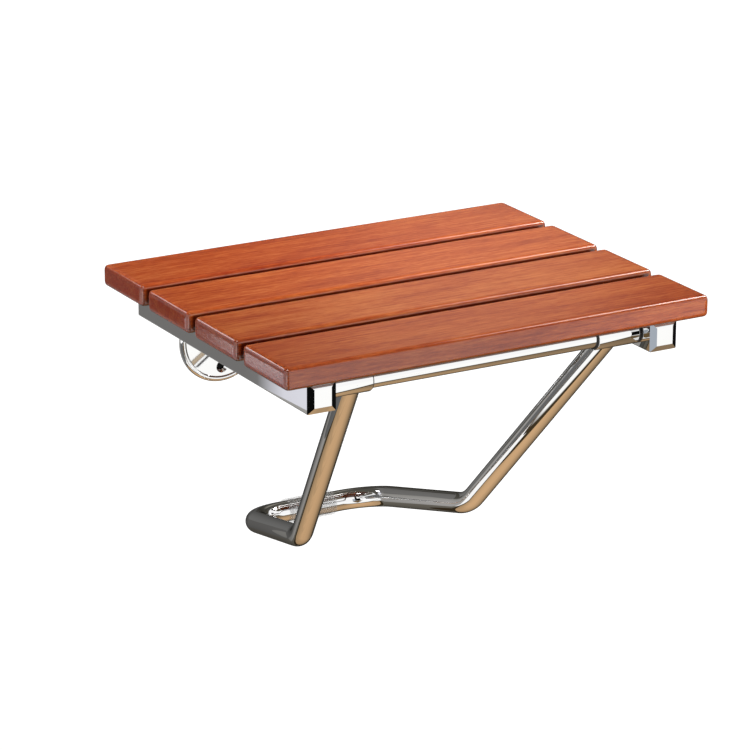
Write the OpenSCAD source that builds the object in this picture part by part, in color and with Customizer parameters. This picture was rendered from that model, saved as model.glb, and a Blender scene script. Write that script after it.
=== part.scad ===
// Folding wall-mounted shower seat: four wooden slats on a tubular frame.
// The frame hinges on two wall brackets and rests on a bent leg that braces against the wall.
// X runs along the slats, +Y points into the wall, +Z is up.
// The wall plane is Y = 0 and the origin lies midway between the two wall roses.

/* [Slats] */
// Length of a slat, side to side
slat_l = 380; // [340:1:460]
// Width of a slat, front to back
slat_w = 70; // [66:0.5:80]
// Thickness of a slat
slat_t = 18; // [16:0.5:22]
// Rounding of the slat edges
slat_round = 3.5; // [2:0.25:5]
// Gap between neighbouring slats
slat_gap = 10; // [6:0.5:14]
// Gap between the wall and the rear slat
wall_gap = 12; // [11:0.5:16]

/* [Side rails] */
// Outside size of the square tube
rail_s = 25; // [22:0.5:30]
// Wall of the square tube
rail_wall = 1.5; // [1.2:0.1:2.5]
// Corner rounding of the square tube
rail_round = 1.2; // [0.5:0.1:2]
// How far the slats stand out beyond the rails at each side
side_overhang = 23.5; // [12:0.5:35]
// From the front slat's edge back to the cap rim
front_overhang = 11; // [6:0.5:20]
// From the rear slat's edge forward to the cap rim
rear_overhang = 16; // [12:0.5:22]

/* [End caps] */
// Thickness of the flush rim of a cap
cap_rim = 3; // [2:0.1:4]
// How far the bevelled face stands out of the rim
cap_face = 2.7; // [1:0.1:4]
// Width of the bevel round the face
cap_bevel = 5.1; // [2:0.1:8]
// How far the plug reaches into the tube
cap_plug = 8; // [4:0.5:8.5]
// Clearance round the plug
cap_gap = 0.1; // [0.05:0.05:0.3]

/* [Cross bars] */
// Diameter of the front bar and the pivot bar
bar_d = 16; // [14:0.5:17]
// Wall of the bars
bar_wall = 2; // [1.2:0.1:4]
// From the end of a rail to the axis of its bar
bar_inset = 18.5; // [18:0.25:22]
// Clearance of a bar in the hole of a rail
bar_gap = 0.1; // [0.05:0.05:0.3]

/* [Hinge sleeves] */
// Wall of the nylon bush round a bar
bush_wall = 0.95; // [0.8:0.05:1.2]
// Thickness of the bush flange
bush_flange = 1.5; // [1:0.1:2.5]
// Wall of a steel hinge sleeve
sleeve_wall = 1; // [0.8:0.05:1.4]
// Length of a sleeve on the leg
leg_sleeve_l = 37.5; // [30:0.5:44]
// Length of a sleeve on a wall bracket
bracket_sleeve_l = 36; // [28:0.5:44]
// Radial running clearance of a bar in its bush
run_gap = 0.05; // [0.02:0.01:0.09]
// Clearance between a bush and its sleeve
seat_gap = 0.02; // [0.01:0.01:0.05]
// Side play of a hinge along its bar
side_play = 0.3; // [0.2:0.1:0.6]

/* [Leg] */
// Outside diameter of the leg tube
leg_d = 18; // [16:0.5:19]
// Wall of the leg tube
leg_wall = 1.5; // [1.2:0.1:2.5]
// Distance between the two legs at the front bar
leg_top_w = 234; // [222:1:240]
// Distance between the two knees
knee_w = 159; // [140:1:176]
// Width of the foot loop at the wall
foot_w = 120; // [112:1:140]
// Height of the front bar above the knees
knee_drop = 183; // [170:1:200]
// From the front bar back to the knees
knee_back = 148; // [140:1:160]
// Height of the front bar above the foot loop
foot_drop = 214; // [205:1:230]
// Centre-line radius of the bends
leg_bend = 36; // [27:1:40]

/* [Wall pad] */
// Length of the clear sleeve that rests on the wall
pad_l = 44; // [20:1:44]
// Thickness of the clear sleeve
pad_t = 1.5; // [1:0.1:3]
// Clearance between the clear sleeve and the leg tube
pad_gap = 0.05; // [0.02:0.01:0.1]

/* [Wall brackets] */
// Distance between the centres of the two wall roses
rose_pitch = 156; // [144:1:166]
// Height of the pivot bar above the rose centres
pivot_rise = 52.5; // [50:0.5:60]
// Outside diameter of the bracket tube
bracket_d = 16; // [14:0.5:17]
// Wall of the bracket tube
bracket_wall = 1.5; // [1.2:0.1:2.5]
// Centre-line radius of the bracket bend
bracket_bend = 20; // [18:0.5:22]
// Outside diameter of a wall rose
rose_d = 76; // [72:1:84]
// Thickness of the rose under its flat face
rose_t = 3.5; // [3:0.1:4]
// How far the rim of a rose stands out of the wall
rim_h = 4.5; // [4.2:0.1:5]
// Width of the rim
rim_w = 3.6; // [3.2:0.1:6]
// Rounding of the rim's outer edge
rim_round = 3; // [1:0.1:3]
// Wall of the collar round the bracket tube
rose_collar_wall = 2.5; // [1.5:0.1:4]
// How far the collar stands out of the flat face
rose_collar_h = 2.5; // [1.5:0.1:4]
// Depth of the socket for the bracket tube, from the end of the collar
socket_depth = 5; // [3:0.1:6]
// Diameter of the circle of screw holes
screw_circle = 50; // [44:1:54]
// Diameter of a wall screw hole
wall_hole_d = 5.5; // [4:0.1:6.5]
// Diameter of its countersink
countersink_d = 10.5; // [9:0.1:12]

/* [Stop collars] */
// Outside diameter of a stop collar on the pivot bar
collar_d = 24; // [22:0.5:24.5]
// Width of a stop collar
collar_w = 10; // [8:0.5:12]
// Diameter of a stop collar's set screw
set_screw_d = 5; // [4:0.5:6]

/* [Slat screws] */
// Diameter of a slat screw
screw_d = 4; // [3:0.1:5]
// How far a slat screw reaches into the wood
screw_bite = 12; // [8:0.5:14]
// Diameter of its head
screw_head_d = 8; // [7:0.1:9]
// Height of its head
screw_head_h = 2.6; // [2:0.1:3]
// Distance between the two screws of a slat, front to back
screw_pitch = 44; // [36:1:46]
// Hole in the underside of a rail for the screwdriver
access_d = 10; // [9.5:0.1:12]

/* [Hidden] */

wood = [0.70, 0.33, 0.22];
chrome = [0.82, 0.83, 0.85];
steel = [0.62, 0.63, 0.65];
nylon = [0.08, 0.08, 0.08];
clear = [0.85, 0.90, 0.92, 0.5];

left = -1;
right = 1;
slats = 4;
slip = 1;                 // how far a cutting shape runs past the face that it cuts
bend_draw = 0.01;         // how much a bend thins the tube wall, at each surface
bend_lap = 0.3;           // how far a straight run reaches into its bends
round_fn = 64;
screw_fn = 32;

// Slats and rails
slat_step = slat_w + slat_gap;
seat_back = -wall_gap;
seat_front = seat_back - slats * slat_w - (slats - 1) * slat_gap;
cap_front = seat_front + front_overhang;
cap_back = seat_back - rear_overhang;
rail_front = cap_front + cap_rim;
rail_back = cap_back - cap_rim;
rail_l = rail_back - rail_front;
rail_x = slat_l / 2 - side_overhang - rail_s / 2;
rail_in = rail_s - 2 * rail_wall;

// Hinge axes
bar_r = bar_d / 2;
pivot_y = rail_back - bar_inset;
front_y = rail_front + bar_inset;
axis_z = pivot_rise;
rail_top = axis_z + rail_s / 2;
bar_half = rail_x + rail_in / 2;

// Bushes and sleeves
bush_in = bar_r + run_gap;
bush_out = bush_in + bush_wall;
sleeve_in = bush_out + seat_gap;
sleeve_out = sleeve_in + sleeve_wall;
rail_inner_face = rail_x - rail_s / 2;
leg_sleeve_end = rail_inner_face - side_play - bush_flange;
bracket_x = rose_pitch / 2;
bracket_sleeve_end = bracket_x + bracket_sleeve_l / 2;
collar_start = bracket_sleeve_end + bush_flange + side_play;

// Leg path, from the left end of the bar round to the right
foot_y = -(leg_d / 2 + pad_gap + pad_t);
leg_path = [
  [-leg_top_w / 2, front_y, axis_z],
  [-knee_w / 2, front_y + knee_back, axis_z - knee_drop],
  [-foot_w / 2, foot_y, axis_z - foot_drop],
  [foot_w / 2, foot_y, axis_z - foot_drop],
  [knee_w / 2, front_y + knee_back, axis_z - knee_drop],
  [leg_top_w / 2, front_y, axis_z]
];

// Wall brackets
rose_face = -rose_t;
socket_end = rose_face - rose_collar_h + socket_depth;

// Screw places along a rail, kept clear of both bars
screw_reach = bar_r + screw_head_d / 2 + slip;
function slat_centre(i) = seat_back - slat_w / 2 - i * slat_step;
function screw_places(i) = [
  for (side = [-1, 1])
    let (y = slat_centre(i) + side * screw_pitch / 2)
      if (y < pivot_y - screw_reach && y > front_y + screw_reach) y
];

// Rounded rectangle of exact arcs, centred
module rounded(size, r) {
  square([size.x - 2 * r, size.y], center = true);
  square([size.x, size.y - 2 * r], center = true);
  for (sx = [-1, 1], sy = [-1, 1]) {
    translate([sx * (size.x / 2 - r), sy * (size.y / 2 - r)])
      circle(r = r, $fn = round_fn);
  }
}

// Points local Z along +X
module along_x() {
  rotate([90, 0, 90]) children();
}

// Points local Z out of the wall, along -Y, with local Y up
module out_of_wall() {
  rotate([90, 0, 0]) children();
}

// Ring of tube wall seen end on
module ring(d, wall) {
  difference() {
    circle(d = d, $fn = round_fn);
    circle(d = d - 2 * wall, $fn = round_fn);
  }
}

// Bent round tube through a list of corner points
function unit(v) = v / norm(v);
function turn_at(p, i) = acos(unit(p[i] - p[i - 1]) * unit(p[i + 1] - p[i]));
function trim_at(p, i, bend) = i == 0 || i == len(p) - 1 ? 0 : bend * tan(turn_at(p, i) / 2);

module straight(a, b, d, wall) {
  run = b - a;
  translate(a)
    rotate([0, acos(run.z / norm(run)), atan2(run.y, run.x)])
      linear_extrude(height = norm(run)) ring(d, wall);
}

module bend_at(p, i, bend, d, wall) {
  ahead = unit(p[i] - p[i - 1]);
  after = unit(p[i + 1] - p[i]);
  spin = unit(cross(ahead, after));
  inward = cross(spin, ahead);
  start = p[i] - ahead * trim_at(p, i, bend);
  middle = start + inward * bend;
  multmatrix([
    [-inward.x, ahead.x, spin.x, middle.x],
    [-inward.y, ahead.y, spin.y, middle.y],
    [-inward.z, ahead.z, spin.z, middle.z],
    [0, 0, 0, 1]
  ])
    rotate_extrude(angle = turn_at(p, i), $fn = 2 * round_fn)
      translate([bend, 0]) ring(d - 2 * bend_draw, wall - 2 * bend_draw);
}

module bent_tube(p, bend, d, wall) {
  for (i = [0 : len(p) - 2]) {
    ahead = unit(p[i + 1] - p[i]);
    first = max(0, trim_at(p, i, bend) - bend_lap);
    last = max(0, trim_at(p, i + 1, bend) - bend_lap);
    straight(p[i] + ahead * first, p[i + 1] - ahead * last, d, wall);
  }
  for (i = [1 : len(p) - 2]) {
    bend_at(p, i, bend, d, wall);
  }
}

// Round bar or tube along X from x0 to x1 on a hinge axis
module on_axis(y, x0, x1) {
  translate([x0, y, axis_z]) along_x() linear_extrude(height = x1 - x0) children();
}

// Mirrors a right-hand piece to the left
module on_side(side) {
  mirror([side < 0 ? 1 : 0, 0, 0]) children();
}

// One slat, i counted from the wall, with pilot holes for its screws
module slat(i) {
  color(wood)
    difference() {
      translate([0, slat_centre(i), rail_top + slat_t / 2])
        intersection() {
          linear_extrude(height = slat_t, center = true) rounded([slat_l, slat_w], slat_round);
          rotate([90, 0, 0])
            linear_extrude(height = slat_w, center = true) rounded([slat_l, slat_t], slat_round);
          rotate([90, 0, 90])
            linear_extrude(height = slat_l, center = true) rounded([slat_w, slat_t], slat_round);
        }
      for (x = [-rail_x, rail_x], y = screw_places(i)) {
        translate([x, y, rail_top - slip])
          cylinder(d = screw_d + 2 * seat_gap, h = slip + screw_bite + seat_gap, $fn = screw_fn);
      }
    }
}

// Square tube with cross holes for the bars and holes for the slat screws
module rail(side) {
  color(chrome)
    difference() {
      translate([side * rail_x, rail_back, axis_z])
        out_of_wall()
          linear_extrude(height = rail_l)
            difference() {
              rounded([rail_s, rail_s], rail_round);
              square(rail_in, center = true);
            }
      for (y = [pivot_y, front_y]) {
        on_side(side)
          on_axis(y, rail_x - rail_s / 2 - slip, rail_x)
            circle(r = bar_r + bar_gap, $fn = round_fn);
      }
      for (i = [0 : slats - 1], y = screw_places(i)) {
        translate([side * rail_x, y, axis_z])
          cylinder(d = screw_d + 2 * seat_gap, h = rail_s, $fn = screw_fn);
        translate([side * rail_x, y, axis_z - rail_s])
          cylinder(d = access_d, h = rail_s, $fn = round_fn);
      }
    }
}

// Side outline of a cap: flush rim, then the bevelled face
module cap_outline() {
  half = rail_s / 2;
  polygon([
    [0, -half], [cap_rim, -half], [cap_rim + cap_face, cap_bevel - half],
    [cap_rim + cap_face, half - cap_bevel], [cap_rim, half], [0, half]
  ]);
}

// End cap with local +X out of the tube
module cap_shape() {
  plug = rail_in - 2 * cap_gap;
  intersection() {
    rotate([90, 0, 0]) linear_extrude(height = rail_s, center = true) cap_outline();
    linear_extrude(height = rail_s, center = true) cap_outline();
    rotate([90, 0, 90]) linear_extrude(height = cap_rim + cap_face) rounded([rail_s, rail_s], rail_round);
  }
  translate([-cap_plug, -plug / 2, -plug / 2]) cube([cap_plug, plug, plug]);
}

module front_cap(side) {
  color(chrome) translate([side * rail_x, rail_front, axis_z]) rotate([0, 0, -90]) cap_shape();
}

module back_cap(side) {
  color(chrome) translate([side * rail_x, rail_back, axis_z]) rotate([0, 0, 90]) cap_shape();
}

// Pan-head screws from inside a rail up into the slats
module slat_screws(side) {
  color(steel)
    for (i = [0 : slats - 1], y = screw_places(i)) {
      translate([side * rail_x, y, rail_top - rail_wall]) {
        cylinder(d = screw_d, h = rail_wall + screw_bite, $fn = screw_fn);
        translate([0, 0, -screw_head_h]) cylinder(d = screw_head_d, h = screw_head_h, $fn = screw_fn);
      }
    }
}

module cross_bar(y) {
  color(chrome) on_axis(y, -bar_half, bar_half) ring(bar_d, bar_wall);
}

module front_bar() {
  cross_bar(front_y);
}

module pivot_bar() {
  cross_bar(pivot_y);
}

// Steel hinge sleeve that ends at x1
module sleeve(side, y, x1, l) {
  color(chrome) on_side(side) on_axis(y, x1 - l, x1) ring(2 * sleeve_out, sleeve_wall);
}

// Nylon bush inside a sleeve, with its flange beyond x1
module bush(side, y, x1, l) {
  color(nylon)
    on_side(side) {
      on_axis(y, x1 - l, x1) ring(2 * bush_out, bush_wall);
      on_axis(y, x1, x1 + bush_flange) ring(2 * sleeve_out, sleeve_out - bush_in);
    }
}

module leg_sleeve(side) {
  sleeve(side, front_y, leg_sleeve_end, leg_sleeve_l);
}

module leg_bush(side) {
  bush(side, front_y, leg_sleeve_end, leg_sleeve_l);
}

module bracket_sleeve(side) {
  sleeve(side, pivot_y, bracket_sleeve_end, bracket_sleeve_l);
}

module bracket_bush(side) {
  bush(side, pivot_y, bracket_sleeve_end, bracket_sleeve_l);
}

// Bent leg, cut to a saddle where it is welded to its two sleeves
module leg_tube() {
  color(chrome)
    difference() {
      bent_tube(leg_path, leg_bend, leg_d, leg_wall);
      for (side = [left, right]) {
        on_side(side)
          on_axis(front_y, leg_top_w / 2 - leg_d, leg_top_w / 2 + leg_d)
            circle(r = sleeve_out, $fn = round_fn);
      }
    }
}

// Clear sleeve round the foot loop where it touches the wall
module wall_pad() {
  inner = leg_d / 2 + pad_gap;
  color(clear)
    translate([-pad_l / 2, foot_y, axis_z - foot_drop])
      along_x() linear_extrude(height = pad_l) ring(2 * (inner + pad_t), pad_t);
}

// Outline of a rose, turned about local Z: flat face, rounded rim and tube collar
module rose_outline() {
  rose_r = rose_d / 2;
  collar_r = bracket_d / 2 + rose_collar_wall;
  square([rose_r - rim_round, rose_t]);
  square([rose_r, rim_h - rim_round]);
  translate([rose_r - rim_w, 0]) square([rim_w - rim_round, rim_h]);
  intersection() {
    square([rose_r, rim_h]);
    translate([rose_r - rim_round, rim_h - rim_round]) circle(r = rim_round, $fn = round_fn);
  }
  square([collar_r, rose_t + rose_collar_h]);
}

module rose(side) {
  sink = (countersink_d - wall_hole_d) / 2;
  color(chrome)
    translate([side * bracket_x, 0, 0])
      difference() {
        out_of_wall() rotate_extrude($fn = 2 * round_fn) rose_outline();
        translate([0, socket_end, 0])
          out_of_wall() cylinder(r = bracket_d / 2 + bar_gap, h = socket_depth + slip, $fn = round_fn);
        for (a = [30, 150, 270]) {
          translate([cos(a) * screw_circle / 2, slip, sin(a) * screw_circle / 2])
            out_of_wall() cylinder(d = wall_hole_d, h = rose_t + 2 * slip, $fn = screw_fn);
          translate([cos(a) * screw_circle / 2, rose_face + sink, sin(a) * screw_circle / 2])
            out_of_wall() cylinder(d1 = wall_hole_d, d2 = countersink_d, h = sink, $fn = screw_fn);
        }
      }
}

// Bracket tube: out of the rose, then up to its sleeve
module bracket_tube(side) {
  path = [
    [bracket_x, socket_end, 0],
    [bracket_x, pivot_y, 0],
    [bracket_x, pivot_y, axis_z]
  ];
  color(chrome)
    on_side(side)
      difference() {
        bent_tube(path, bracket_bend, bracket_d, bracket_wall);
        on_axis(pivot_y, bracket_x - bracket_d, bracket_x + bracket_d)
          circle(r = sleeve_out, $fn = round_fn);
      }
}

// Collar that holds the pivot bar endways against its bracket
module stop_collar(side) {
  color(steel)
    on_side(side)
      difference() {
        on_axis(pivot_y, collar_start, collar_start + collar_w)
          ring(collar_d, collar_d / 2 - bar_r - run_gap);
        translate([collar_start + collar_w / 2, pivot_y, axis_z - collar_d])
          cylinder(d = set_screw_d + 2 * seat_gap, h = collar_d, $fn = screw_fn);
      }
}

module collar_set_screws() {
  color(steel)
    for (side = [left, right]) {
      translate([side * (collar_start + collar_w / 2), pivot_y, axis_z - collar_d / 2])
        cylinder(d = set_screw_d, h = collar_d / 2 - bar_r, $fn = screw_fn);
    }
}

slat(0);  // back_slat
slat(1);  // second_slat
slat(2);  // third_slat
slat(3);  // front_slat
rail(left);  // left_rail
rail(right);  // right_rail
front_cap(left);  // left_front_cap
front_cap(right);  // right_front_cap
back_cap(left);  // left_back_cap
back_cap(right);  // right_back_cap
slat_screws(left);  // left_slat_screws
slat_screws(right);  // right_slat_screws
front_bar();
pivot_bar();
leg_tube();
leg_sleeve(left);  // left_leg_sleeve
leg_sleeve(right);  // right_leg_sleeve
leg_bush(left);  // left_leg_bush
leg_bush(right);  // right_leg_bush
wall_pad();
rose(left);  // left_rose
rose(right);  // right_rose
bracket_tube(left);  // left_bracket_tube
bracket_tube(right);  // right_bracket_tube
bracket_sleeve(left);  // left_bracket_sleeve
bracket_sleeve(right);  // right_bracket_sleeve
bracket_bush(left);  // left_bracket_bush
bracket_bush(right);  // right_bracket_bush
stop_collar(left);  // left_stop_collar
stop_collar(right);  // right_stop_collar
collar_set_screws();
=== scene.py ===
"""Folding wall-mounted shower seat: lacquered slats and polished steel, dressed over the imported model."""
import math

import bmesh
import bpy
from mathutils import Matrix, Vector


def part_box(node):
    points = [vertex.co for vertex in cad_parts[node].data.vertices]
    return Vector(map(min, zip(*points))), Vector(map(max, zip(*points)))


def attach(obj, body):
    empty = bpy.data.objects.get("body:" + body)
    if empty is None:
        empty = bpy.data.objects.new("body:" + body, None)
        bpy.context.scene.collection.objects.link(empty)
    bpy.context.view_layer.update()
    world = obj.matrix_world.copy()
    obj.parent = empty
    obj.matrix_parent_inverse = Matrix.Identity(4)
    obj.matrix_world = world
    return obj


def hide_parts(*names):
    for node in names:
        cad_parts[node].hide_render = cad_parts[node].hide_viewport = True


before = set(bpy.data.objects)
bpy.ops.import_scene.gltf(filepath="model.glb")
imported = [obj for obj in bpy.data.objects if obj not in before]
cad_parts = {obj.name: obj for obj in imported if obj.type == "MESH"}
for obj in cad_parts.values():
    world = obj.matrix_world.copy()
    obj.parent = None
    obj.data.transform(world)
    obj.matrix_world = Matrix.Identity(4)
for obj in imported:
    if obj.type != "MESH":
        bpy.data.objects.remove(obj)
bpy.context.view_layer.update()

bl_info = {
    "name": "Folding Shower Seat",
    "version": (1, 0, 0),
    "blender": (4, 5, 0),
    "location": "View3D > Sidebar > Shower Seat",
    "description": "Dresses the folding shower seat in lacquered wood and polished steel",
    "category": "Add Mesh",
}

MM = 0.001

SLATS = ("back_slat", "second_slat", "third_slat", "front_slat")
# How each slat's wood differs from the common colours
SLAT_TINTS = ((1.0, 1.0, 1.0), (1.05, 1.14, 1.10), (0.94, 1.06, 1.08), (0.91, 0.97, 0.98))
# Where each slat's gap lies, for the painted shade in it: -1 in front of it, 1 behind it, 0 on both sides
GAP_SIDES = (-1.0, 0.0, 0.0, 1.0)
# How far the pattern of the wood moves from one slat to the next
GRAIN_SHIFT = (0.37, 0.21, 0.55)
SLAT_EDGE_STEPS = 8
# Layers of the grain: scale along X, Y and Z, detail, roughness, and share in the wood's tone
GRAIN = {
    "figure": ((7, 30, 30), 3.0, 0.5, 0.20),
    "bands": ((7, 100, 100), 4.0, 0.6, 0.20),
    "streaks": ((26, 420, 420), 5.0, 0.65, 0.27),
    "fibres": ((100, 1300, 1300), 3.0, 0.6, 0.21),
    "mottle": ((100, 330, 330), 3.0, 0.7, 0.12),
}
PORE_SCALE = (40, 1250, 1250)
SKIN_SCALE = (420, 800, 800)
# Where the dark, middle and light colours lie in the tone
TONE_STOPS = (0.41, 0.5, 0.58)
# Where in their noise the pores begin, and where they are fully open
PORE_STOPS = (0.63, 0.72)
# How squarely a face looks along X (for the darker end grain), across the slat or down (for the painted
# shade), where the darkening begins and where it is full
END_FACING, GAP_FACING = (0.5, 0.95), (0.93, 1.0)
DOWN_FACING, FLAT_DOWN_FACING = (-0.25, -0.8), (-0.85, -0.97)
# How far the painted shade keeps off the sawn ends, and what is left of it on the flat underside
END_CUT, FLAT_DOWN_SHADE = 0.5, 0.35

RAILS = ("left_rail", "right_rail")
CAPS = ("left_front_cap", "right_front_cap", "left_back_cap", "right_back_cap")
TUBES = (
    "front_bar", "pivot_bar",
    "left_bracket_tube", "right_bracket_tube", "left_bracket_sleeve", "right_bracket_sleeve",
)
# How bright the round tubes mirror at a glancing angle, where 1 is as bright as the flat steel
TUBE_RIM = 0.35

# Half of the leg's centre line in mm, from its sleeve over the knee to the foot loop
LEG_LINE = ((117.0, -289.5, 52.5), (79.5, -141.5, -130.5), (60.0, -10.55, -161.5))
LEG_RADIUS, LEG_BEND = 9 * MM, 36 * MM
# The round that the leg's ends are cut to, just inside the outside of the sleeves
SADDLE_RADIUS = 9.75 * MM
LEG_SLEEVES = ("left_leg_sleeve", "right_leg_sleeve")
SLEEVE_WALL, SLEEVE_SOFT = 1.0 * MM, 0.35 * MM
LEG_BUSHES = ("left_leg_bush", "right_leg_bush")
BRACKET_BUSHES = ("left_bracket_bush", "right_bracket_bush")
BUSH_BORE_R, BUSH_FLANGE, BUSH_SOFT = 8.05 * MM, 1.5 * MM, 0.25 * MM
# How much smaller the bush's body and lip are than its flange, and how far the lip stands out
BODY_DROP, LIP_DROP, LIP_REACH = 1.1 * MM, 0.5 * MM, 0.9 * MM
# Radii between which the wall pad changes from its inner side, which lies on the tube, to its outer side
PAD_INNER_R, PAD_OUTER_R = 9.3 * MM, 10.2 * MM
PAD_INNER_FILM, PAD_OUTER_FILM = 0.01, 0.30

ROSES = ("left_rose", "right_rose")
ROSE_X = 78 * MM
# Heights over the wall
PLATE_H, RIM_H, COLLAR_H, SOCKET_H = 3.5 * MM, 4.5 * MM, 6.0 * MM, 1.0 * MM
SOCKET_R, COLLAR_R = 8.1 * MM, 10.5 * MM
RIM_OUTER_ROUND, RIM_INNER_ROUND, COLLAR_ROUND = 3.1 * MM, 2.5 * MM, 0.6 * MM
# The turn in degrees at which the rim's inner rounding meets the plate
RIM_INNER_START = 143.13
HOLE_CIRCLE_R, HOLE_R, SINK_R, SINK_DEPTH = 25 * MM, 2.75 * MM, 5.25 * MM, 2.5 * MM
HOLE_TURNS = (30, 150, 270)
# The screw holes are closed between these heights, and open to the front and to the back
HOLE_FRONT_END, HOLE_BACK_END = 0.4 * MM, 0.35 * MM
# The layer of a rose painted black as the shade deep in its screw holes and tube socket: its reach from the
# centre, its height and half its thickness
BLACK_REACH, BLACK_HEIGHT, BLACK_HALF = 31 * MM, 0.75 * MM, 0.55 * MM
HOLE_SHADE_BLACK = (0.004, 0.004, 0.004)

PLATED = (
    "left_slat_screws", "right_slat_screws", "left_stop_collar", "right_stop_collar",
    "collar_set_screws",
)

# Faces round a large, a middle and a small turned shape, and along one bend of the leg
FINE, MIDDLE, SMALL, BEND_STEPS = 96, 64, 32, 28
SHARP_ANGLE = math.radians(32)
SAME_POINT = 0.002 * MM


class SeatWood(bpy.types.PropertyGroup):
    """Sizes and colours of the lacquered slats"""

    edge_round: bpy.props.FloatProperty(
        name="Edge rounding", description="How far the rounding of an edge reaches",
        default=5.5 * MM, min=0.5 * MM, max=8 * MM, unit="LENGTH")
    edge_fullness: bpy.props.FloatProperty(
        name="Edge fullness", description="0.5 is a quarter circle, and more leaves the edge fuller",
        default=0.64, min=0.3, max=0.9, subtype="FACTOR")
    light: bpy.props.FloatVectorProperty(
        name="Light grain", description="Colour of the lightest streaks",
        default=(0.70, 0.165, 0.036), subtype="COLOR")
    middle: bpy.props.FloatVectorProperty(
        name="Middle grain", description="Colour between the streaks",
        default=(0.55, 0.092, 0.019), subtype="COLOR")
    dark: bpy.props.FloatVectorProperty(
        name="Dark grain", description="Colour of the darkest streaks",
        default=(0.36, 0.042, 0.010), subtype="COLOR")
    pore: bpy.props.FloatVectorProperty(
        name="Pores and end grain", description="Colour of the open pores and of the sawn ends",
        default=(0.26, 0.010, 0.004), subtype="COLOR")
    pore_depth: bpy.props.FloatProperty(
        name="Pore strength", description="How strongly the pores show",
        default=0.35, min=0.0, max=1.0, subtype="FACTOR")
    end_shade: bpy.props.FloatProperty(
        name="End grain strength", description="How much darker the sawn ends are",
        default=0.50, min=0.0, max=1.0, subtype="FACTOR")
    # Painted shade: the dark colour laid on the sides in the gaps and on the underside, where shade falls,
    # and its strength
    painted_shade: bpy.props.FloatVectorProperty(
        name="Hidden sides", description="Stain of the sides in the gaps and of the underside",
        default=(0.060, 0.0016, 0.0006), subtype="COLOR")
    painted_shade_depth: bpy.props.FloatProperty(
        name="Hidden side strength", description="How strongly the hidden sides are stained",
        default=0.9, min=0.0, max=1.0, subtype="FACTOR")
    lacquer_roughness: bpy.props.FloatProperty(
        name="Lacquer roughness", description="How much the lacquer blurs what it mirrors",
        default=0.05, min=0.0, max=1.0, subtype="FACTOR")


class SeatSteel(bpy.types.PropertyGroup):
    """Tints and polish of the metal"""

    tint: bpy.props.FloatVectorProperty(
        name="Tint", description="Colour of the polished steel",
        default=(0.76, 0.76, 0.76), subtype="COLOR")
    polish: bpy.props.FloatProperty(
        name="Roughness", description="Roughness of the polished steel",
        default=0.012, min=0.0, max=1.0, subtype="FACTOR")


class SeatStudio(bpy.types.PropertyGroup):
    """Camera and floor"""

    place: bpy.props.FloatVectorProperty(
        name="Camera place", description="Where the camera stands",
        default=(-1.457873, -2.661068, 0.971695), subtype="TRANSLATION", unit="LENGTH")
    azimuth: bpy.props.FloatProperty(
        name="Azimuth", description="Turn of the line of sight from +Y towards +X",
        default=math.radians(29.878), unit="ROTATION")
    elevation: bpy.props.FloatProperty(
        name="Elevation", description="How steeply the line of sight falls",
        default=math.radians(18.547), unit="ROTATION")
    roll: bpy.props.FloatProperty(
        name="Roll", description="Turn of the camera about its line of sight",
        default=math.radians(-0.186), unit="ROTATION")
    lens: bpy.props.FloatProperty(
        name="Lens", description="Focal length on a sensor 36 mm wide",
        default=181.749, min=10.0, max=500.0)
    floor_drop: bpy.props.FloatProperty(
        name="Floor", description="Height of the floor below the wall fixing",
        default=3.0, min=0.2, max=5.0, unit="LENGTH")


def fill(tree, node, inputs):
    """Sets a node's inputs to values, or links them to sockets."""
    for key, value in inputs.items():
        if isinstance(value, bpy.types.NodeSocket):
            tree.links.new(value, node.inputs[key])
        else:
            node.inputs[key].default_value = value


def add_node(tree, kind, inputs=None, **settings):
    """A node with its settings and inputs."""
    node = tree.nodes.new(kind)
    for key, value in settings.items():
        setattr(node, key, value)
    fill(tree, node, inputs or {})
    return node


def maths(tree, operation, *values):
    """One step of arithmetic on numbers."""
    return add_node(tree, "ShaderNodeMath", dict(enumerate(values)), operation=operation).outputs[0]


def vector_maths(tree, operation, *values):
    """One step of arithmetic on vectors, with its result as a vector or a number."""
    node = add_node(tree, "ShaderNodeVectorMath", dict(enumerate(values)), operation=operation)
    return node.outputs["Value" if operation in ("LENGTH", "DISTANCE", "DOT_PRODUCT") else "Vector"]


def remap(tree, value, first, last, low=0.0, high=1.0):
    """A number that goes from low to high as the value goes from first to last."""
    node = add_node(tree, "ShaderNodeMapRange", {
        "Value": value, "From Min": first, "From Max": last, "To Min": low, "To Max": high})
    return node.outputs[0]


def mixed(tree, share, colour, other):
    """A colour with a share of another, plain one."""
    node = add_node(tree, "ShaderNodeMix", {0: share, 6: colour, 7: (*other, 1.0)}, data_type="RGBA")
    return node.outputs[2]


def new_material(name):
    """A material with one Principled shader, as (material, tree, shader)."""
    material = bpy.data.materials.new(name)
    material.use_nodes = True
    tree = material.node_tree
    return material, tree, tree.nodes["Principled BSDF"]


def surface_place(tree):
    """Where a point of the surface is, in the frame of the CAD."""
    return add_node(tree, "ShaderNodeTexCoord").outputs["Object"]


def stretched_noise(tree, place, stretch, detail=4.0, roughness=0.5):
    """Noise with its own scale along each axis."""
    noise = add_node(tree, "ShaderNodeTexNoise", {
        "Vector": vector_maths(tree, "MULTIPLY", place, stretch),
        "Scale": 1.0, "Detail": detail, "Roughness": roughness})
    return noise.outputs[0]


def ramp(tree, factor, stops):
    """A colour ramp with (position, colour) stops."""
    node = add_node(tree, "ShaderNodeValToRGB", {0: factor})
    elements = node.color_ramp.elements
    while len(elements) > len(stops):
        elements.remove(elements[-1])
    while len(elements) < len(stops):
        elements.new(0.5)
    for element, (position, colour) in zip(elements, stops):
        element.position = position
        element.color = (*colour, 1.0)
    return node.outputs[0]


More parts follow.
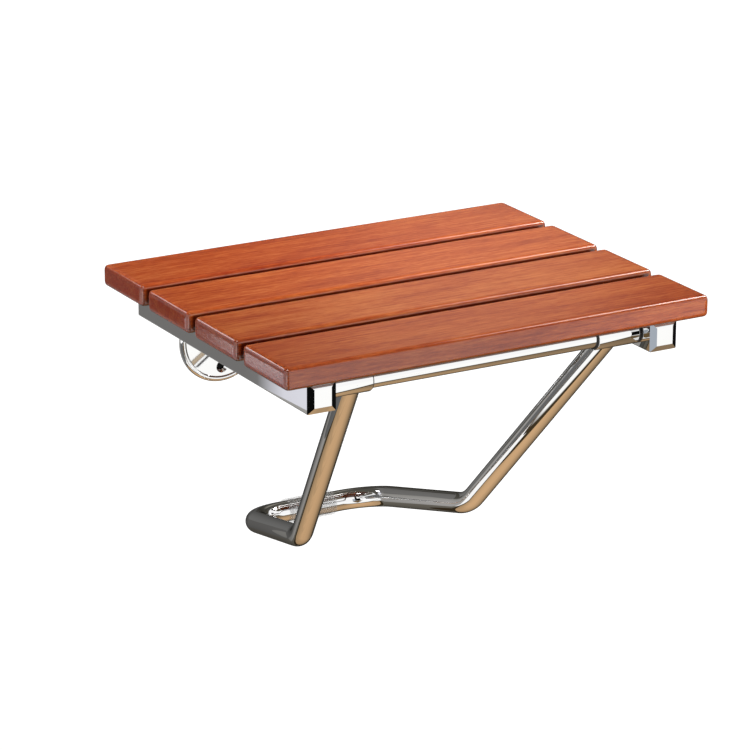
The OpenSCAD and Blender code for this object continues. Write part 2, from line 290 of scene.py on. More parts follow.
def cloudy(tree, scale, detail, low, high):
    """A cloudy change between two colours."""
    cloud = stretched_noise(tree, surface_place(tree), (scale,) * 3, detail)
    return ramp(tree, cloud, [(0.3, low), (0.7, high)])


def blend_sum(tree, parts):
    """The sum of sockets, each times its weight."""
    total = 0.0
    for socket, weight in parts:
        total = maths(tree, "MULTIPLY_ADD", socket, weight, total)
    return total


def lacquered_wood(name, wood, tint, shift, gap_side):
    """Red-brown hardwood under gloss lacquer, with its grain along X and painted shade on its sides in the
    gaps and on its underside.
    """
    material, tree, shader = new_material(name)
    at = add_node(tree, "ShaderNodeTexCoord").outputs
    place = vector_maths(tree, "ADD", at["Object"], shift)
    layers = {layer: stretched_noise(tree, place, *form[:3]) for layer, form in GRAIN.items()}
    tone = blend_sum(tree, [(layers[layer], form[3]) for layer, form in GRAIN.items()])
    grains = [[a * b for a, b in zip(grain, tint)] for grain in (wood.dark, wood.middle, wood.light)]
    colour = ramp(tree, tone, list(zip(TONE_STOPS, grains)))

    pores = remap(tree, stretched_noise(tree, place, PORE_SCALE, 1.0), *PORE_STOPS, 0.0, wood.pore_depth)
    facing = add_node(tree, "ShaderNodeSeparateXYZ", {0: at["Normal"]}).outputs
    end_wise = maths(tree, "ABSOLUTE", facing["X"])
    sawn_end = remap(tree, end_wise, *END_FACING, 0.0, wood.end_shade)
    colour = mixed(tree, maths(tree, "MAXIMUM", pores, sawn_end), colour, wood.pore)

    if gap_side:
        gap_wise = maths(tree, "MULTIPLY", facing["Y"], gap_side)
    else:
        gap_wise = maths(tree, "ABSOLUTE", facing["Y"])
    # Painted shade on the sides in the gaps and on the underside; it stops short of the corners at the sawn
    # ends, and is thinner on the flat underside
    off_corner = maths(tree, "MULTIPLY_ADD", end_wise, -END_CUT, gap_wise)
    in_gap = remap(tree, off_corner, *GAP_FACING, 0.0, wood.painted_shade_depth)
    below = remap(tree, facing["Z"], *DOWN_FACING, 0.0, wood.painted_shade_depth)
    flat_below = remap(tree, facing["Z"], *FLAT_DOWN_FACING, 1.0, FLAT_DOWN_SHADE)
    painted_shade = maths(tree, "MAXIMUM", in_gap, maths(tree, "MULTIPLY", below, flat_below))

    relief = blend_sum(tree, [(layers["streaks"], 0.35), (layers["fibres"], 0.35), (pores, -0.5)])
    skin = stretched_noise(tree, place, SKIN_SCALE, 2.0)
    bump = add_node(tree, "ShaderNodeBump", {"Height": relief, "Strength": 0.25, "Distance": 0.15 * MM})
    ripple = add_node(tree, "ShaderNodeBump", {
        "Height": blend_sum(tree, [(skin, 0.7), (relief, 0.3)]), "Strength": 0.8, "Distance": 0.11 * MM})
    # The base colour carries the painted shade of the gaps and the underside
    fill(tree, shader, {
        "Base Color": mixed(tree, painted_shade, colour, wood.painted_shade),
        "Roughness": 0.5, "Specular IOR Level": 0.0, "Normal": bump.outputs[0],
        "Coat Weight": 1.0, "Coat IOR": 1.65, "Coat Roughness": wood.lacquer_roughness,
        "Coat Normal": ripple.outputs[0]})
    return material


def hole_shade(tree, at):
    """1 near the closed ends of the roses' screw holes and tube sockets, where black shade is painted, and 0
    elsewhere.
    """
    folded = vector_maths(tree, "ABSOLUTE", at)
    flat = vector_maths(tree, "MULTIPLY", folded, (1, 0, 1))
    off_centre = vector_maths(tree, "DISTANCE", flat, (ROSE_X, 0, 0))
    inside = maths(tree, "LESS_THAN", off_centre, BLACK_REACH)
    depth = add_node(tree, "ShaderNodeSeparateXYZ", {0: at}).outputs["Y"]
    return maths(tree, "MULTIPLY", inside, maths(tree, "COMPARE", depth, -BLACK_HEIGHT, BLACK_HALF))


def polished_steel(name, steel, rim=1.0, holes=False):
    """Mirror-polished steel with faint smudges; a rim below 1 darkens what it mirrors at a glancing angle,
    and holes paints black shade in the roses' screw holes.
    """
    material, tree, shader = new_material(name)
    at = surface_place(tree)
    smudge = stretched_noise(tree, at, (24, 24, 24), 3.0)
    colour = ramp(tree, smudge, [(0.3, [channel * 0.97 for channel in steel.tint]), (0.7, steel.tint)])
    # Painted shade: black at the closed ends of the roses' screw holes and tube sockets
    if holes:
        colour = mixed(tree, hole_shade(tree, at), colour, HOLE_SHADE_BLACK)
    fill(tree, shader, {
        "Base Color": colour, "Metallic": 1.0, "Specular Tint": (rim, rim, rim, 1.0),
        "Roughness": remap(tree, smudge, 0.3, 0.7, steel.polish * 0.6, steel.polish * 1.4)})
    return material


def plated_steel(name):
    """Zinc-plated steel, satin, with a faint mottle."""
    material, tree, shader = new_material(name)
    fill(tree, shader, {
        "Base Color": cloudy(tree, 300, 4.0, (0.50, 0.51, 0.53), (0.66, 0.67, 0.69)),
        "Metallic": 1.0, "Roughness": 0.32})
    return material


def nylon(name):
    """Black nylon."""
    material, tree, shader = new_material(name)
    fill(tree, shader, {
        "Base Color": cloudy(tree, 90, 3.0, (0.010, 0.010, 0.010), (0.018, 0.018, 0.017)),
        "Roughness": 0.45})
    return material


def clear_vinyl(name):
    """Clear soft film round the foot loop; its inner side, which lies on the tube, doesn't show."""
    material, tree, shader = new_material(name)
    foot = LEG_LINE[-1]
    off_axis = vector_maths(tree, "ADD", surface_place(tree), (0.0, -foot[1] * MM, -foot[2] * MM))
    radius = vector_maths(tree, "LENGTH", vector_maths(tree, "MULTIPLY", off_axis, (0.0, 1.0, 1.0)))
    fill(tree, shader, {
        "Base Color": cloudy(tree, 60, 3.0, (0.74, 0.77, 0.78), (0.80, 0.82, 0.82)),
        "Roughness": 0.1,
        "Alpha": remap(tree, radius, PAD_INNER_R, PAD_OUTER_R, PAD_INNER_FILM, PAD_OUTER_FILM)})
    return material


def finish_node(name, material):
    """Gives a CAD node its material."""
    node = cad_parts[name]
    node.data.materials.clear()
    node.data.materials.append(material)


def piece_from(name, shape, material, body, slot, *nodes):
    """A smooth piece from a bmesh, riding on a body and standing for the CAD nodes."""
    mesh = bpy.data.meshes.new(name)
    shape.to_mesh(mesh)
    shape.free()
    mesh.materials.append(material)
    mesh.shade_smooth()
    mesh.set_sharp_from_angle(angle=SHARP_ANGLE)
    piece = bpy.data.objects.new(name, mesh)
    bpy.context.scene.collection.objects.link(piece)
    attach(piece, body)
    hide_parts(*nodes)
    return piece


def arc(middle, radius, first, last, steps):
    """Points of an arc in an outline, angles in degrees from the first axis to the second."""
    turns = [math.radians(first + (last - first) * i / steps) for i in range(steps + 1)]
    return [(middle[0] + radius * math.cos(turn), middle[1] + radius * math.sin(turn)) for turn in turns]


def turned(shape, outline, place, steps):
    """Adds a surface of revolution to a bmesh: outline of (radius, height) turned about Z, then placed."""
    rings = []
    for radius, height in outline:
        count = steps if radius > 0 else 1
        turns = [2 * math.pi * i / steps for i in range(count)]
        points = [Vector((radius * math.cos(turn), radius * math.sin(turn), height)) for turn in turns]
        rings.append([shape.verts.new(place @ point) for point in points])
    for low, high in zip(rings, rings[1:]):
        for i in range(steps):
            j = i + 1
            corners = [low[i % len(low)], low[j % len(low)], high[j % len(high)], high[i % len(high)]]
            shape.faces.new(list(dict.fromkeys(corners)))
    return rings


def rounded_line(corners, radius, steps):
    """A line through vectors with its corners rounded, as a list of points."""
    line = [corners[0]]
    for before, corner, after in zip(corners, corners[1:], corners[2:]):
        back, ahead = (before - corner).normalized(), (after - corner).normalized()
        half = back.angle(ahead) / 2
        first = corner + back * radius / math.tan(half)
        middle = corner + (back + ahead).normalized() * radius / math.sin(half)
        spoke = first - middle
        axis = spoke.cross(-back)
        sweep = math.pi - 2 * half
        line += [middle + Matrix.Rotation(sweep * i / steps, 3, axis) @ spoke for i in range(steps + 1)]
    return line + [corners[-1]]


def swept(shape, line, radius, sides):
    """Adds a round tube along a line to a bmesh, without its ends, and returns its rings."""
    rings = []
    across = Vector((0.0, 0.0, 1.0)).cross(line[1] - line[0]).normalized()
    for before, point, after in zip([line[0]] + line, line, line[1:] + [line[-1]]):
        ahead = (after - before).normalized()
        across = (across - ahead * across.dot(ahead)).normalized()
        other = ahead.cross(across)
        turns = [2 * math.pi * i / sides for i in range(sides)]
        rings.append([shape.verts.new(point + (across * math.cos(turn) + other * math.sin(turn)) * radius)
                      for turn in turns])
    for low, high in zip(rings, rings[1:]):
        for i in range(sides):
            j = (i + 1) % sides
            shape.faces.new([low[i], low[j], high[j], high[i]])
    return rings


def saddle(ring, ahead, axis_y, axis_z, radius):
    """Moves a tube's last ring along the tube on to a bar that lies along X."""
    for vert in ring:
        y, z = vert.co.y - axis_y, vert.co.z - axis_z
        a = ahead.y ** 2 + ahead.z ** 2
        b = y * ahead.y + z * ahead.z
        root = math.sqrt(max(b * b - a * (y * y + z * z - radius * radius), 0.0))
        vert.co += ahead * (root - b) / a


def tidy_surface(shape):
    """Joins matching points and turns every face outward."""
    bmesh.ops.remove_doubles(shape, verts=shape.verts[:], dist=SAME_POINT)
    bmesh.ops.recalc_face_normals(shape, faces=shape.faces[:])


def along_x(first, sign=1.0):
    """A place whose Z axis runs from a point along +X, or along -X where the sign is -1."""
    return Matrix.Translation(first) @ Matrix.Rotation(math.radians(90 * sign), 4, "Y")


def rounded_block(low, high, radius, fullness, steps):
    """A block between two corners with every edge rounded."""
    shape = bmesh.new()
    bmesh.ops.create_cube(shape, size=1.0)
    size = high - low
    centre = (high + low) / 2
    for vert in shape.verts:
        vert.co = Vector(vert.co[i] * size[i] + centre[i] for i in range(3))
    bmesh.ops.bevel(shape, geom=shape.edges[:], offset=radius, segments=steps, profile=fullness,
                    affect="EDGES")
    return shape


def settings():
    """The scene's three groups of settings."""
    scene = bpy.context.scene
    return scene.seat_wood, scene.seat_steel, scene.seat_studio


class SEAT_OT_slats(bpy.types.Operator):
    """Build the four slats with rounded edges and lacquered grain"""

    bl_idname = "seat.slats"
    bl_label = "Build Slats"

    def execute(self, context):
        wood = settings()[0]
        for index, (name, tint, gap_side) in enumerate(zip(SLATS, SLAT_TINTS, GAP_SIDES)):
            low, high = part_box(name)
            shift = [step * index for step in GRAIN_SHIFT]
            material = lacquered_wood(name + "_wood", wood, tint, shift, gap_side)
            shape = rounded_block(low, high, wood.edge_round, wood.edge_fullness, SLAT_EDGE_STEPS)
            piece = piece_from(name + "_board", shape, material, "seat", "lacquered_wood", name)
            piece.modifiers.new("Even shading", "WEIGHTED_NORMAL")
        return {"FINISHED"}


class SEAT_OT_steelwork(bpy.types.Operator):
    """Give the rails, caps, tubes and roses their polish"""

    bl_idname = "seat.steelwork"
    bl_label = "Finish Steelwork"

    def execute(self, context):
        steel = settings()[1]
        for names, slot in ((RAILS, "polished_rail"), (CAPS, "polished_cap")):
            flat = polished_steel(slot + "_finish", steel)
            for name in names:
                finish_node(name, flat)
        tube = polished_steel("polished_tube_finish", steel, TUBE_RIM)
        for name in TUBES:
            finish_node(name, tube)
        for name in LEG_SLEEVES:
            piece_from(name + "_turned", self.sleeve(name), tube, "leg", "polished_tube", name)
        piece_from("leg_tube_bent", self.leg(), tube, "leg", "polished_tube", "leg_tube")
        pierced = polished_steel("polished_rose_finish", steel, holes=True)
        for name in ROSES:
            piece_from(name + "_plate", self.rose(name), pierced, "wall_brackets", "polished_rose", name)
        return {"FINISHED"}

    def leg(self):
        """The bent leg in one sweep, with its ends saddled to the sleeves."""
        half = [Vector(point) * MM for point in LEG_LINE]
        corners = [Vector((-p.x, p.y, p.z)) for p in half] + half[::-1]
        shape = bmesh.new()
        rings = swept(shape, rounded_line(corners, LEG_BEND, BEND_STEPS), LEG_RADIUS, MIDDLE)
        for ring, ahead in ((rings[0], corners[1] - corners[0]), (rings[-1], corners[-2] - corners[-1])):
            saddle(ring, ahead.normalized(), half[0].y, half[0].z, SADDLE_RADIUS)
            shape.faces.new(ring)
        tidy_surface(shape)
        return shape

    def sleeve(self, name):
        """A short tube with softened ends, in the place of a leg sleeve."""
        low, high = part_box(name)
        middle = (low + high) / 2
        outer, length = (high.z - low.z) / 2, high.x - low.x
        inner, edge = outer - SLEEVE_WALL, outer - SLEEVE_SOFT
        outline = [(inner, 0.0)]
        outline += arc((edge, SLEEVE_SOFT), SLEEVE_SOFT, -90, 0, 4)
        outline += arc((edge, length - SLEEVE_SOFT), SLEEVE_SOFT, 0, 90, 4)
        outline += [(inner, length), (inner, 0.0)]
        shape = bmesh.new()
        turned(shape, outline, along_x((low.x, middle.y, middle.z)), FINE)
        tidy_surface(shape)
        return shape

    def rose(self, name):
        """A wall rose: flat plate with three countersunk holes, raised rim and a collar for the tube."""
        low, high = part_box(name)
        centre = Vector(((low.x + high.x) / 2, 0.0, (low.z + high.z) / 2))
        place = Matrix.Translation(centre) @ Matrix.Rotation(math.radians(90), 4, "X")
        edge = (high.x - low.x) / 2
        rim_r = edge - RIM_OUTER_ROUND
        inside = [(0.0, SOCKET_H), (SOCKET_R, SOCKET_H), (SOCKET_R, COLLAR_H)]
        inside += arc((COLLAR_R - COLLAR_ROUND, COLLAR_H - COLLAR_ROUND), COLLAR_ROUND, 90, 0, 5)
        inside += [(COLLAR_R, PLATE_H)]
        outside = arc((rim_r, RIM_H - RIM_INNER_ROUND), RIM_INNER_ROUND, RIM_INNER_START, 90, 6)
        outside += arc((rim_r, RIM_H - RIM_OUTER_ROUND), RIM_OUTER_ROUND, 90, 0, 14)[1:] + [(edge, 0.0)]
        shape = bmesh.new()
        rings = turned(shape, outside, place, FINE)
        fronts, backs = [rings[0], turned(shape, inside, place, FINE)[-1]], [rings[-1]]
        front_hole = [(SINK_R, PLATE_H), (HOLE_R, PLATE_H - SINK_DEPTH), (HOLE_R, HOLE_FRONT_END),
                      (0.0, HOLE_FRONT_END)]
        back_hole = [(HOLE_R, 0.0), (HOLE_R, HOLE_BACK_END), (0.0, HOLE_BACK_END)]
        for turn in HOLE_TURNS:
            turn_of_hole = Matrix.Rotation(math.radians(turn), 4, "Z")
            hole_place = place @ (turn_of_hole @ Matrix.Translation((HOLE_CIRCLE_R, 0.0, 0.0)))
            fronts.append(turned(shape, front_hole, hole_place, SMALL)[0])
            backs.append(turned(shape, back_hole, hole_place, SMALL)[0])
        for loops, facing in ((fronts, -1.0), (backs, 1.0)):
            edges = [shape.edges.get(pair) for loop in loops for pair in zip(loop, loop[1:] + loop[:1])]
            bmesh.ops.triangle_fill(shape, use_beauty=True, use_dissolve=False, edges=edges,
                                    normal=(0.0, facing, 0.0))
        tidy_surface(shape)
        return shape


class SEAT_OT_fittings(bpy.types.Operator):
    """Finish the screws, collars, bushes and the clear wall pad"""

    bl_idname = "seat.fittings"
    bl_label = "Finish Fittings"

    def execute(self, context):
        zinc = plated_steel("zinc_steel_finish")
        for name in PLATED:
            finish_node(name, zinc)
        black = nylon("nylon_finish")
        for name in BRACKET_BUSHES:
            finish_node(name, black)
        for name in LEG_BUSHES:
            piece_from(name + "_turned", self.bush(name), black, "leg", "nylon", name)
        finish_node("wall_pad", clear_vinyl("clear_vinyl_finish"))
        return {"FINISHED"}

    def bush(self, name):
        """A bush with its flange at the outer end and a thin lip round the sleeve's inner end."""
        low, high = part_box(name)
        sign = 1.0 if low.x + high.x > 0 else -1.0
        middle = (low + high) / 2
        flange_r, length = (high.z - low.z) / 2, high.x - low.x
        lip_r, body_r, flange = flange_r - LIP_DROP, flange_r - BODY_DROP, length - BUSH_FLANGE
        outline = [(BUSH_BORE_R, -LIP_REACH)]
        outline += arc((lip_r - BUSH_SOFT, BUSH_SOFT - LIP_REACH), BUSH_SOFT, -90, 0, 3)
        outline += [(lip_r, 0.0), (body_r, 0.0), (body_r, flange), (flange_r, flange)]
        outline += arc((flange_r - BUSH_SOFT, length - BUSH_SOFT), BUSH_SOFT, 0, 90, 3)
        outline += [(BUSH_BORE_R, length), (BUSH_BORE_R, -LIP_REACH)]
        first = low.x if sign > 0 else high.x
        shape = bmesh.new()
        turned(shape, outline, along_x((first, middle.y, middle.z), sign), MIDDLE)
        tidy_surface(shape)
        return shape


def standing(first, last, low, high):
    """Corners of an upright rectangle over the line between two (x, y) places."""
    return ((*first, low), (*last, low), (*last, high), (*first, high))


def on_wall(y, *corners):
    """Corners given as (x, z) on an upright plane."""
    return tuple((x, y, z) for x, z in corners)


def lying(height, *corners):
    """Corners given as (x, y) at one height."""
    return tuple((x, y, height) for x, y in corners)


def plain(*colour):
    """The only stop of a card with one colour."""
    return ((0.0, colour),)


ALONG_X, ALONG_Y, ALONG_Z = (1, 0, 0), (0, 1, 0), (0, 0, 1)
# What the mirrors see. Every card is a flat polygon, given by its name, corners and (place, colour)
# stops. Where its colour changes, the direction and the first and last distance along it follow.
CARDS = (
    ("black_strip_left", standing((-1.06, -1.50), (-0.76, -1.70), -1.0, 0.25), plain(0.004, 0.004, 0.004)),
    ("black_strip_middle", standing((-0.77, -1.70), (-0.53, -1.78), -0.5, 2.1), plain(0.02, 0.02, 0.02)),
    ("table_front_left", lying(-0.515, (-0.80, -1.70), (-0.15, -1.70), (-0.15, -0.50), (-0.80, -0.95)),
     plain(0.20, 0.13, 0.06)),
    ("blue_grey_strip", standing((-0.52, -1.78), (-0.24, -1.84), -1.0, 0.25), plain(0.48, 0.53, 0.60)),
    ("black_strip_right", standing((1.5, -0.5), (1.5, -0.1), -1.0, 0.25), plain(0.006, 0.006, 0.006)),
    ("overhead_light", lying(1.05, (0.48, -0.45), (1.5, -0.45), (1.5, 0.10), (0.48, 0.10)),
     ((0.0, (0.05, 0.05, 0.05)), (0.12, (2.2, 2.15, 2.1)), (0.4, (6.5, 6.4, 6.2)),
      (0.7, (15.0, 14.8, 14.5)), (1.0, (24.0, 23.5, 23.0))), ALONG_X, 0.48, 1.08),
    ("back_wall", standing((-3.0, 0.63), (2.6, 0.63), -0.6, 0.45),
     ((0.0, (1.15, 1.15, 1.15)), (0.475, (0.95, 0.95, 0.99)), (0.575, (0.92, 0.92, 1.0)),
      (0.587, (0.86, 0.86, 0.94)), (0.594, (0.21, 0.205, 0.20)), (0.80, (0.19, 0.185, 0.175)),
      (0.87, (0.11, 0.10, 0.08)), (1.0, (0.095, 0.085, 0.065))), ALONG_X, -3.0, 1.0),
    ("wall_shade", standing((-0.40, 0.62), (1.4, 0.62), -0.12, 0.10),
     ((0.0, (0.17, 0.165, 0.155)), (1.0, (0.095, 0.09, 0.075))), ALONG_X, -0.40, -0.25),
    ("foot_shade", standing((-0.17, 0.615), (0.30, 0.615), -0.19, -0.035), plain(0.27, 0.268, 0.26)),
    ("wall_side", standing((-1.15, 0.61), (-0.645, 0.61), -0.24, 0.14),
     ((0.0, (0.80, 0.80, 0.80)), (0.5, (0.50, 0.50, 0.48)), (1.0, (0.36, 0.355, 0.33))),
     ALONG_X, -1.15, -0.645),
    ("run_shade", on_wall(0.227, (-0.48, -0.45), (-0.15, -0.45), (-0.15, -0.02), (-0.25, -0.03),
                          (-0.38, -0.115), (-0.48, -0.18)),
     ((0.0, (0.42, 0.41, 0.39)), (0.5, (0.46, 0.445, 0.43)), (1.0, (0.33, 0.32, 0.30))),
     ALONG_X, -0.46, -0.15),
    ("rim_shade", standing((-0.24, -0.22), (-0.24, 0.12), -0.21, -0.035), plain(0.17, 0.17, 0.17)),
    ("rose_streak", lying(-0.519, (0.5675, -1.3437), (0.6215, -1.3961), (0.6339, -1.3833), (0.5799, -1.3310)),
     ((0.0, (1.3, 1.3, 1.3)), (0.05, (0.08, 0.07, 0.06)), (0.19, (0.62, 0.50, 0.36)),
      (0.48, (0.55, 0.42, 0.28)), (0.52, (0.07, 0.05, 0.03)), (0.57, (1.3, 1.3, 1.3)),
      (0.74, (1.3, 1.3, 1.3)), (0.77, (0.0, 0.0, 0.0)), (0.95, (0.0, 0.0, 0.0)),
      (0.97, (1.3, 1.3, 1.3))), (0.695, 0.717, 0), -0.5703, -0.5528),
    ("end_glow", on_wall(0.605, (-0.80, -0.350), (-0.634, -0.239), (-0.634, -0.205), (-0.80, -0.225)),
     ((0.0, (2.0, 2.0, 2.1)), (0.6, (2.2, 2.2, 2.3)), (0.75, (3.1, 3.1, 3.2))), ALONG_X, -0.80, -0.634),
    ("end_dark", on_wall(0.605, (-0.54, -0.174), (-0.632, -0.234), (-0.632, -0.15), (-0.54, -0.09)),
     plain(0.01, 0.01, 0.01)),
    ("edge_glow", standing((-0.64, 0.60), (-0.38, 0.60), 0.40, 0.66), plain(4.0, 4.0, 4.2)),
    ("table_back_rim", lying(-0.5215, (-0.40, 0.14), (0.60, 0.08), (0.60, 0.15), (-0.40, 0.21)),
     plain(0.05, 0.035, 0.018)),
    ("corner_light", lying(1.2, (-0.62, -0.50), (-0.30, -0.50), (-0.30, -0.10), (-0.62, -0.10)),
     plain(14.0, 14.0, 14.0)),
    ("corner_glow", standing((-1.5, -1.5), (-1.5, -0.55), -0.49, -0.36), plain(3.0, 3.0, 3.1)),
    ("back_wall_top", standing((-2.2, 0.63), (2.6, 0.63), 0.45, 2.2),
     ((0.0, (0.10, 0.095, 0.085)), (1.0, (0.10, 0.095, 0.08))), ALONG_Z, 0.4, 1.2),
    ("dark_ceiling", lying(2.2, (-4.0, -3.1), (4.0, -3.1), (4.0, 0.63), (-4.0, 0.63)),
     plain(0.115, 0.11, 0.087)),
    ("far_floor", lying(-0.53, (-0.46, -3.0), (4.0, -3.0), (4.0, 0.63), (-0.46, 0.63)),
     ((0.0, (0.145, 0.13, 0.10)), (1.0, (0.20, 0.185, 0.16))), ALONG_Y, 0.0, 0.5),
    ("white_floor", lying(-0.525, (-4.0, 2.5), (-4.0, -4.0), (4.0, -4.0), (4.0, -3.5)),
     ((0.0, (1.3, 1.3, 1.28)), (0.3, (1.3, 1.3, 1.28)), (0.8, (0.08, 0.055, 0.03)),
      (1.0, (0.05, 0.035, 0.018))), (0.6, 0.8, 0), -0.46, -0.40),
    ("table_rim", lying(-0.522, (-0.465, -0.151), (1.0, -1.25), (1.0, -1.13), (-0.35, 0.22), (-0.465, 0.22)),
     plain(0.06, 0.042, 0.02)),
)
# A paler spot on the back wall, mirrored by the lacquer: corners, middle, size, and colours near and far
WALL_SPOT = standing((0.10, 0.60), (1.05, 0.60), 0.12, 0.75)
SPOT_MIDDLE, SPOT_SIZE = (0.54, 0.60, 0.385), 0.33
SPOT_COLOURS = ((0.0, (0.39, 0.365, 0.305)), (0.35, (0.33, 0.31, 0.26)), (0.7, (0.15, 0.142, 0.122)),
                (1.0, (0.07, 0.066, 0.057)))
# The pale wooden table under the seat: its corners, its brightest point, how far the light reaches, the
# direction, scale and share of its grain, and the colours near and far
TABLE = lying(-0.52, (-0.40, -0.125), (0.95, -1.1375), (1.25, -0.75), (0.55, 0.08), (-0.38, 0.14))
TABLE_BRIGHTEST = (-0.05, -0.20, -0.52)
TABLE_NEAR, TABLE_FAR = 0.34, 1.18
TABLE_TURN, TABLE_GRAIN, TABLE_GRAIN_SHARE = math.radians(37.5), (2.0, 120, 1), 0.5
TABLE_COLOURS = ((0.0, (0.80, 0.50, 0.262)), (0.30, (0.56, 0.365, 0.196)), (0.55, (0.34, 0.232, 0.136)),
                 (1.0, (0.22, 0.155, 0.09)))
# Name, place, target, size, power and colour of each lamp
LIGHTS = (
    ("overhead", (0.07, -0.065, 0.54), (0.07, -0.075, 0.0), 0.45, 2.95, (1.0, 0.97, 0.93)),
    ("front_high", (0.1, -1.5, 0.90), (0.0, -0.15, 0.07), 0.8, 6.3, (1.0, 0.98, 0.95)),
    ("front_low", (0.7, -1.9, -0.05), (0.0, -0.3, 0.05), 1.2, 8.2, (1.0, 0.98, 0.97)),
    ("left_back", (-1.6, 0.35, 0.0), (0.0, -0.2, 0.05), 0.9, 10.5, (1.0, 0.92, 0.88)),
    ("front_right", (0.165, -0.44, 0.0), (0.15, -0.322, 0.065), 0.08, 0.095, (0.97, 1.0, 1.05)),
)
# Strength of the white around the scene: as seen and mirrored, and as light on matt surfaces
SKY_SEEN, SKY_LIGHT = 1.25, 0.09
FLOOR_WHITE, FLOOR_REACH = 1.05, 6.0


def aimed(place, target):
    """A matrix at place whose -Z looks at target."""
    toward = Vector(target) - Vector(place)
    turn = toward.to_track_quat("-Z", "Y")
    return Matrix.Translation(place) @ turn.to_matrix().to_4x4()


def glow(name, colour_from):
    """A light of its own colour; colour_from makes the colour in the material's tree."""
    material = bpy.data.materials.new(name)
    material.use_nodes = True
    tree = material.node_tree
    tree.nodes.clear()
    light = add_node(tree, "ShaderNodeEmission", {"Color": colour_from(tree)})
    add_node(tree, "ShaderNodeOutputMaterial", {"Surface": light.outputs[0]})
    return material


def flat_sheet(name, corners, colour_from):
    """A flat glowing polygon of the stage."""
    shape = bmesh.new()
    shape.faces.new([shape.verts.new(corner) for corner in corners])
    mesh = bpy.data.meshes.new(name)
    shape.to_mesh(mesh)
    shape.free()
    mesh.materials.append(glow(name, colour_from))
    sheet = bpy.data.objects.new(name, mesh)
    bpy.context.scene.collection.objects.link(sheet)
    return sheet


def room_place(tree):
    """Where a point is in the room."""
    return add_node(tree, "ShaderNodeNewGeometry").outputs["Position"]


def shaded(stops, along=ALONG_X, first=-1.0, last=0.0):
    """Colours that change along one direction in the room."""
    def colours(tree):
        reach = vector_maths(tree, "DOT_PRODUCT", room_place(tree), along)
        return ramp(tree, remap(tree, reach, first, last), stops)
    return colours


def spot_colours(tree):
    """A soft round spot."""
    apart = vector_maths(tree, "DISTANCE", room_place(tree), SPOT_MIDDLE)
    return ramp(tree, remap(tree, apart, 0.0, SPOT_SIZE), SPOT_COLOURS)


def table_colours(tree):
    """Pale wood, brightest straight below the seat, with its grain along the table."""
    place = room_place(tree)
    apart = vector_maths(tree, "DISTANCE", place, TABLE_BRIGHTEST)
    rotated = add_node(tree, "ShaderNodeVectorRotate", {"Vector": place, "Angle": TABLE_TURN},
                       rotation_type="Z_AXIS")
    grain = stretched_noise(tree, rotated.outputs[0], TABLE_GRAIN)
    uneven = maths(tree, "MULTIPLY_ADD", grain, TABLE_GRAIN_SHARE, apart)
    return ramp(tree, remap(tree, uneven, TABLE_NEAR, TABLE_FAR), TABLE_COLOURS)


def mirrored_only(card):
    """Keeps a card out of sight, so that only reflections show it."""
    card.visible_camera = False
    card.visible_diffuse = False
    card.visible_shadow = False
    card.visible_transmission = False


def studio_world():
    """White for the camera and in mirrors, and a dim even light for everything else."""
    world = bpy.data.worlds.new("studio")
    world.use_nodes = True
    bpy.context.scene.world = world
    tree = world.node_tree
    path = add_node(tree, "ShaderNodeLightPath")
    fill(tree, tree.nodes["Background"], {
        "Color": (1.0, 1.0, 1.0, 1.0),
        "Strength": remap(tree, path.outputs["Is Diffuse Ray"], 0.0, 1.0, SKY_SEEN, SKY_LIGHT)})


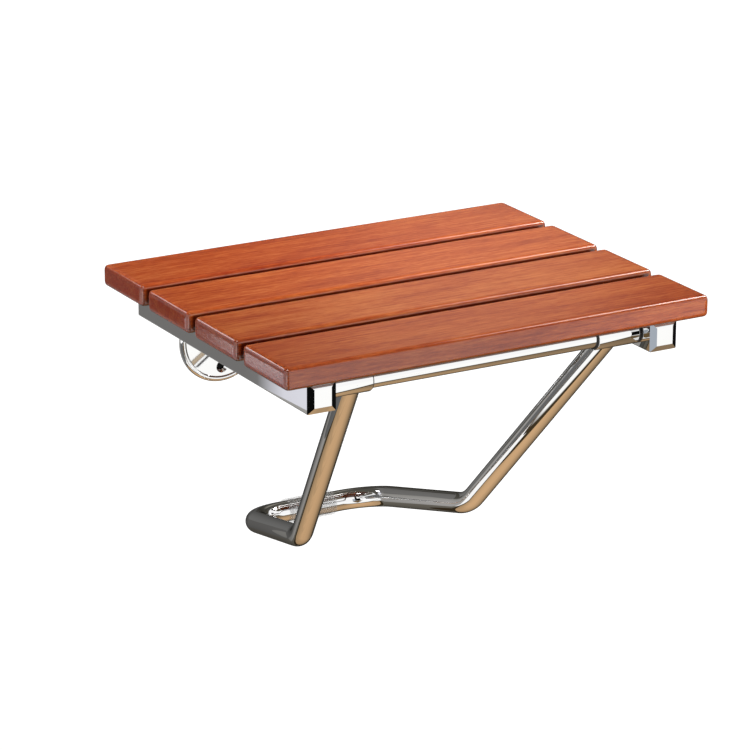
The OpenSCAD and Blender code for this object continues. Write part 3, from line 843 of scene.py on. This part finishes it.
class SEAT_OT_stage(bpy.types.Operator):
    """Set up the pale floor, soft light, reflector cards and camera"""

    bl_idname = "seat.stage"
    bl_label = "Set Up Stage"

    def execute(self, context):
        studio = settings()[2]
        scene = context.scene
        scene.view_settings.view_transform = "Standard"
        studio_world()
        far = FLOOR_REACH
        corners = lying(-studio.floor_drop, (-far, -far), (far, -far), (far, far), (-far, far))
        floor = flat_sheet("floor", corners, shaded(plain(FLOOR_WHITE, FLOOR_WHITE, FLOOR_WHITE)))
        floor.visible_diffuse = False
        floor.visible_glossy = False
        for name, corners, *colours in CARDS:
            mirrored_only(flat_sheet(name, corners, shaded(*colours)))
        mirrored_only(flat_sheet("wall_spot", WALL_SPOT, spot_colours))
        mirrored_only(flat_sheet("table", TABLE, table_colours))
        for name, place, target, size, power, colour in LIGHTS:
            lamp = bpy.data.lights.new(name, "AREA")
            lamp.size = size
            lamp.energy = power
            lamp.color = colour
            holder = bpy.data.objects.new(name, lamp)
            holder.matrix_world = aimed(place, target)
            holder.visible_camera = False
            holder.visible_glossy = False
            scene.collection.objects.link(holder)
        self.place_camera(scene, studio)
        return {"FINISHED"}

    def place_camera(self, scene, studio):
        """Stands the camera where the photographer stood."""
        turn, fall = studio.azimuth, studio.elevation
        sight = Vector((math.sin(turn) * math.cos(fall), math.cos(turn) * math.cos(fall), -math.sin(fall)))
        level = sight.cross(Vector((0.0, 0.0, 1.0))).normalized()
        upright = level.cross(sight)
        aim = Matrix((level, upright, -sight)).transposed()
        camera = bpy.data.objects.new("camera", bpy.data.cameras.new("camera"))
        camera.data.lens = studio.lens
        camera.data.sensor_width = 36.0
        camera.matrix_world = (Matrix.Translation(studio.place)
                               @ (Matrix.Rotation(studio.roll, 3, sight) @ aim).to_4x4())
        scene.collection.objects.link(camera)
        scene.camera = camera


class SEAT_PT_panel(bpy.types.Panel):
    """Steps of the seat's dressing, in order"""

    bl_idname = "SEAT_PT_panel"
    bl_label = "Shower Seat"
    bl_space_type = "VIEW_3D"
    bl_region_type = "UI"
    bl_category = "Shower Seat"

    def draw(self, context):
        for step in STEPS:
            self.layout.operator(step.bl_idname)
        for group in settings():
            for name in group.__annotations__:
                self.layout.prop(group, name)


STEPS = (SEAT_OT_slats, SEAT_OT_steelwork, SEAT_OT_fittings, SEAT_OT_stage)
CLASSES = (SeatWood, SeatSteel, SeatStudio, *STEPS, SEAT_PT_panel)


def register():
    for kind in CLASSES:
        bpy.utils.register_class(kind)
    bpy.types.Scene.seat_wood = bpy.props.PointerProperty(type=SeatWood)
    bpy.types.Scene.seat_steel = bpy.props.PointerProperty(type=SeatSteel)
    bpy.types.Scene.seat_studio = bpy.props.PointerProperty(type=SeatStudio)


def unregister():
    del bpy.types.Scene.seat_wood
    del bpy.types.Scene.seat_steel
    del bpy.types.Scene.seat_studio
    for kind in reversed(CLASSES):
        bpy.utils.unregister_class(kind)


def main():
    register()
    bpy.ops.seat.slats()
    bpy.ops.seat.steelwork()
    bpy.ops.seat.fittings()
    bpy.ops.seat.stage()


if __name__ == "__main__":
    main()
